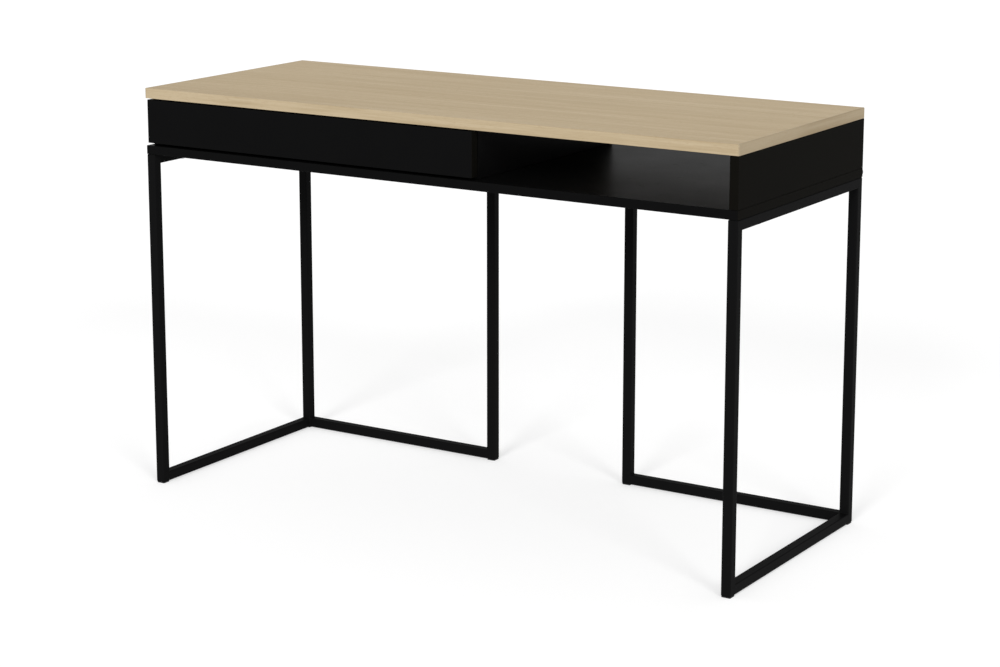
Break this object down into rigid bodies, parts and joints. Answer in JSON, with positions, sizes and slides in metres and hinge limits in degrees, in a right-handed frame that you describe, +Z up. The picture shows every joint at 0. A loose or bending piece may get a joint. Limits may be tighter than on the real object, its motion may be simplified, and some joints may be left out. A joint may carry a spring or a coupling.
{
  "type": "writing desk",
  "caption": "Writing desk: flush oak veneered top on a black carcass with a sliding drawer and an open niche, on two frames of square steel tube.",
  "frame": {"origin": "on the floor, under the middle of the outer box; the rear bumpers put the middle 2.4 mm behind the middle of the boards", "axes": "+X to the right of someone sitting at the desk, along its width; +Y towards the back; +Z up; the sitter is on the -Y side"},
  "size_m": [1.22, 0.4848, 0.755],
  "materials": {
    "oak_top": "light oak veneer with a matt clear lacquer, edges in the same oak",
    "black_board": "satin black lacquered board",
    "drawer_board": "matt black drawer board",
    "black_steel": "satin black powder coat on square steel tube",
    "zinc_runner": "bright zinc plated rolled steel",
    "zinc_screw": "zinc plated screws",
    "black_plastic": "moulded black plastic glides",
    "black_rubber": "matt black rubber"
  },
  "bodies": {
    "desk": {"bottom_panel": "black_board", "desk_top": "oak_top", "divider_front_screw": "zinc_screw", "divider_panel": "black_board", "divider_rear_screw": "zinc_screw", "drawer_bay_back_panel": "black_board", "left_cabinet_runner": "zinc_runner", "left_cabinet_runner_front_screw": "zinc_screw", "left_cabinet_runner_rear_screw": "zinc_screw", "left_frame_front_screw": "zinc_screw", "left_frame_inner_screw": "zinc_screw", "left_frame_rear_screw": "zinc_screw", "left_front_glide": "black_plastic", "left_front_leg": "black_steel", "left_inner_glide": "black_plastic", "left_inner_leg": "black_steel", "left_rear_bumper": "black_rubber", "left_rear_floor_rail": "black_steel", "left_rear_glide": "black_plastic", "left_rear_leg": "black_steel", "left_rear_top_rail": "black_steel", "left_side_floor_rail": "black_steel", "left_side_panel": "black_board", "left_side_top_rail": "black_steel", "right_cabinet_runner": "zinc_runner", "right_cabinet_runner_front_screw": "zinc_screw", "right_cabinet_runner_rear_screw": "zinc_screw", "right_frame_front_screw": "zinc_screw", "right_frame_inner_screw": "zinc_screw", "right_frame_rear_screw": "zinc_screw", "right_front_glide": "black_plastic", "right_front_leg": "black_steel", "right_inner_glide": "black_plastic", "right_inner_leg": "black_steel", "right_rear_bumper": "black_rubber", "right_rear_floor_rail": "black_steel", "right_rear_glide": "black_plastic", "right_rear_leg": "black_steel", "right_rear_top_rail": "black_steel", "right_side_floor_rail": "black_steel", "right_side_panel": "black_board", "right_side_top_rail": "black_steel"},
    "drawer": {"drawer_back": "drawer_board", "drawer_base": "drawer_board", "drawer_front": "black_board", "drawer_front_left_screw": "zinc_screw", "drawer_front_right_screw": "zinc_screw", "drawer_inner_front": "drawer_board", "drawer_left_side": "drawer_board", "drawer_right_side": "drawer_board", "left_drawer_runner": "zinc_runner", "left_drawer_runner_front_screw": "zinc_screw", "left_drawer_runner_rear_screw": "zinc_screw", "right_drawer_runner": "zinc_runner", "right_drawer_runner_front_screw": "zinc_screw", "right_drawer_runner_rear_screw": "zinc_screw"},
    "left_intermediate": {"left_intermediate_runner": "zinc_runner"},
    "right_intermediate": {"right_intermediate_runner": "zinc_runner"}
  },
  "joints": [
    {"name": "drawer_slide", "type": "slide", "parent": "desk", "child": "drawer", "axis": [0, -1, 0], "range_m": [0, 0.4]},
    {"name": "left_runner_slide", "type": "slide", "parent": "desk", "child": "left_intermediate", "axis": [0, -1, 0], "range_m": [0, 0.2]},
    {"name": "right_runner_slide", "type": "slide", "parent": "desk", "child": "right_intermediate", "axis": [0, -1, 0], "range_m": [0, 0.2]}
  ],
  "couplings": [
    {"joint": "left_runner_slide", "follows": "drawer_slide", "ratio": 0.5},
    {"joint": "right_runner_slide", "follows": "drawer_slide", "ratio": 0.5}
  ]
}
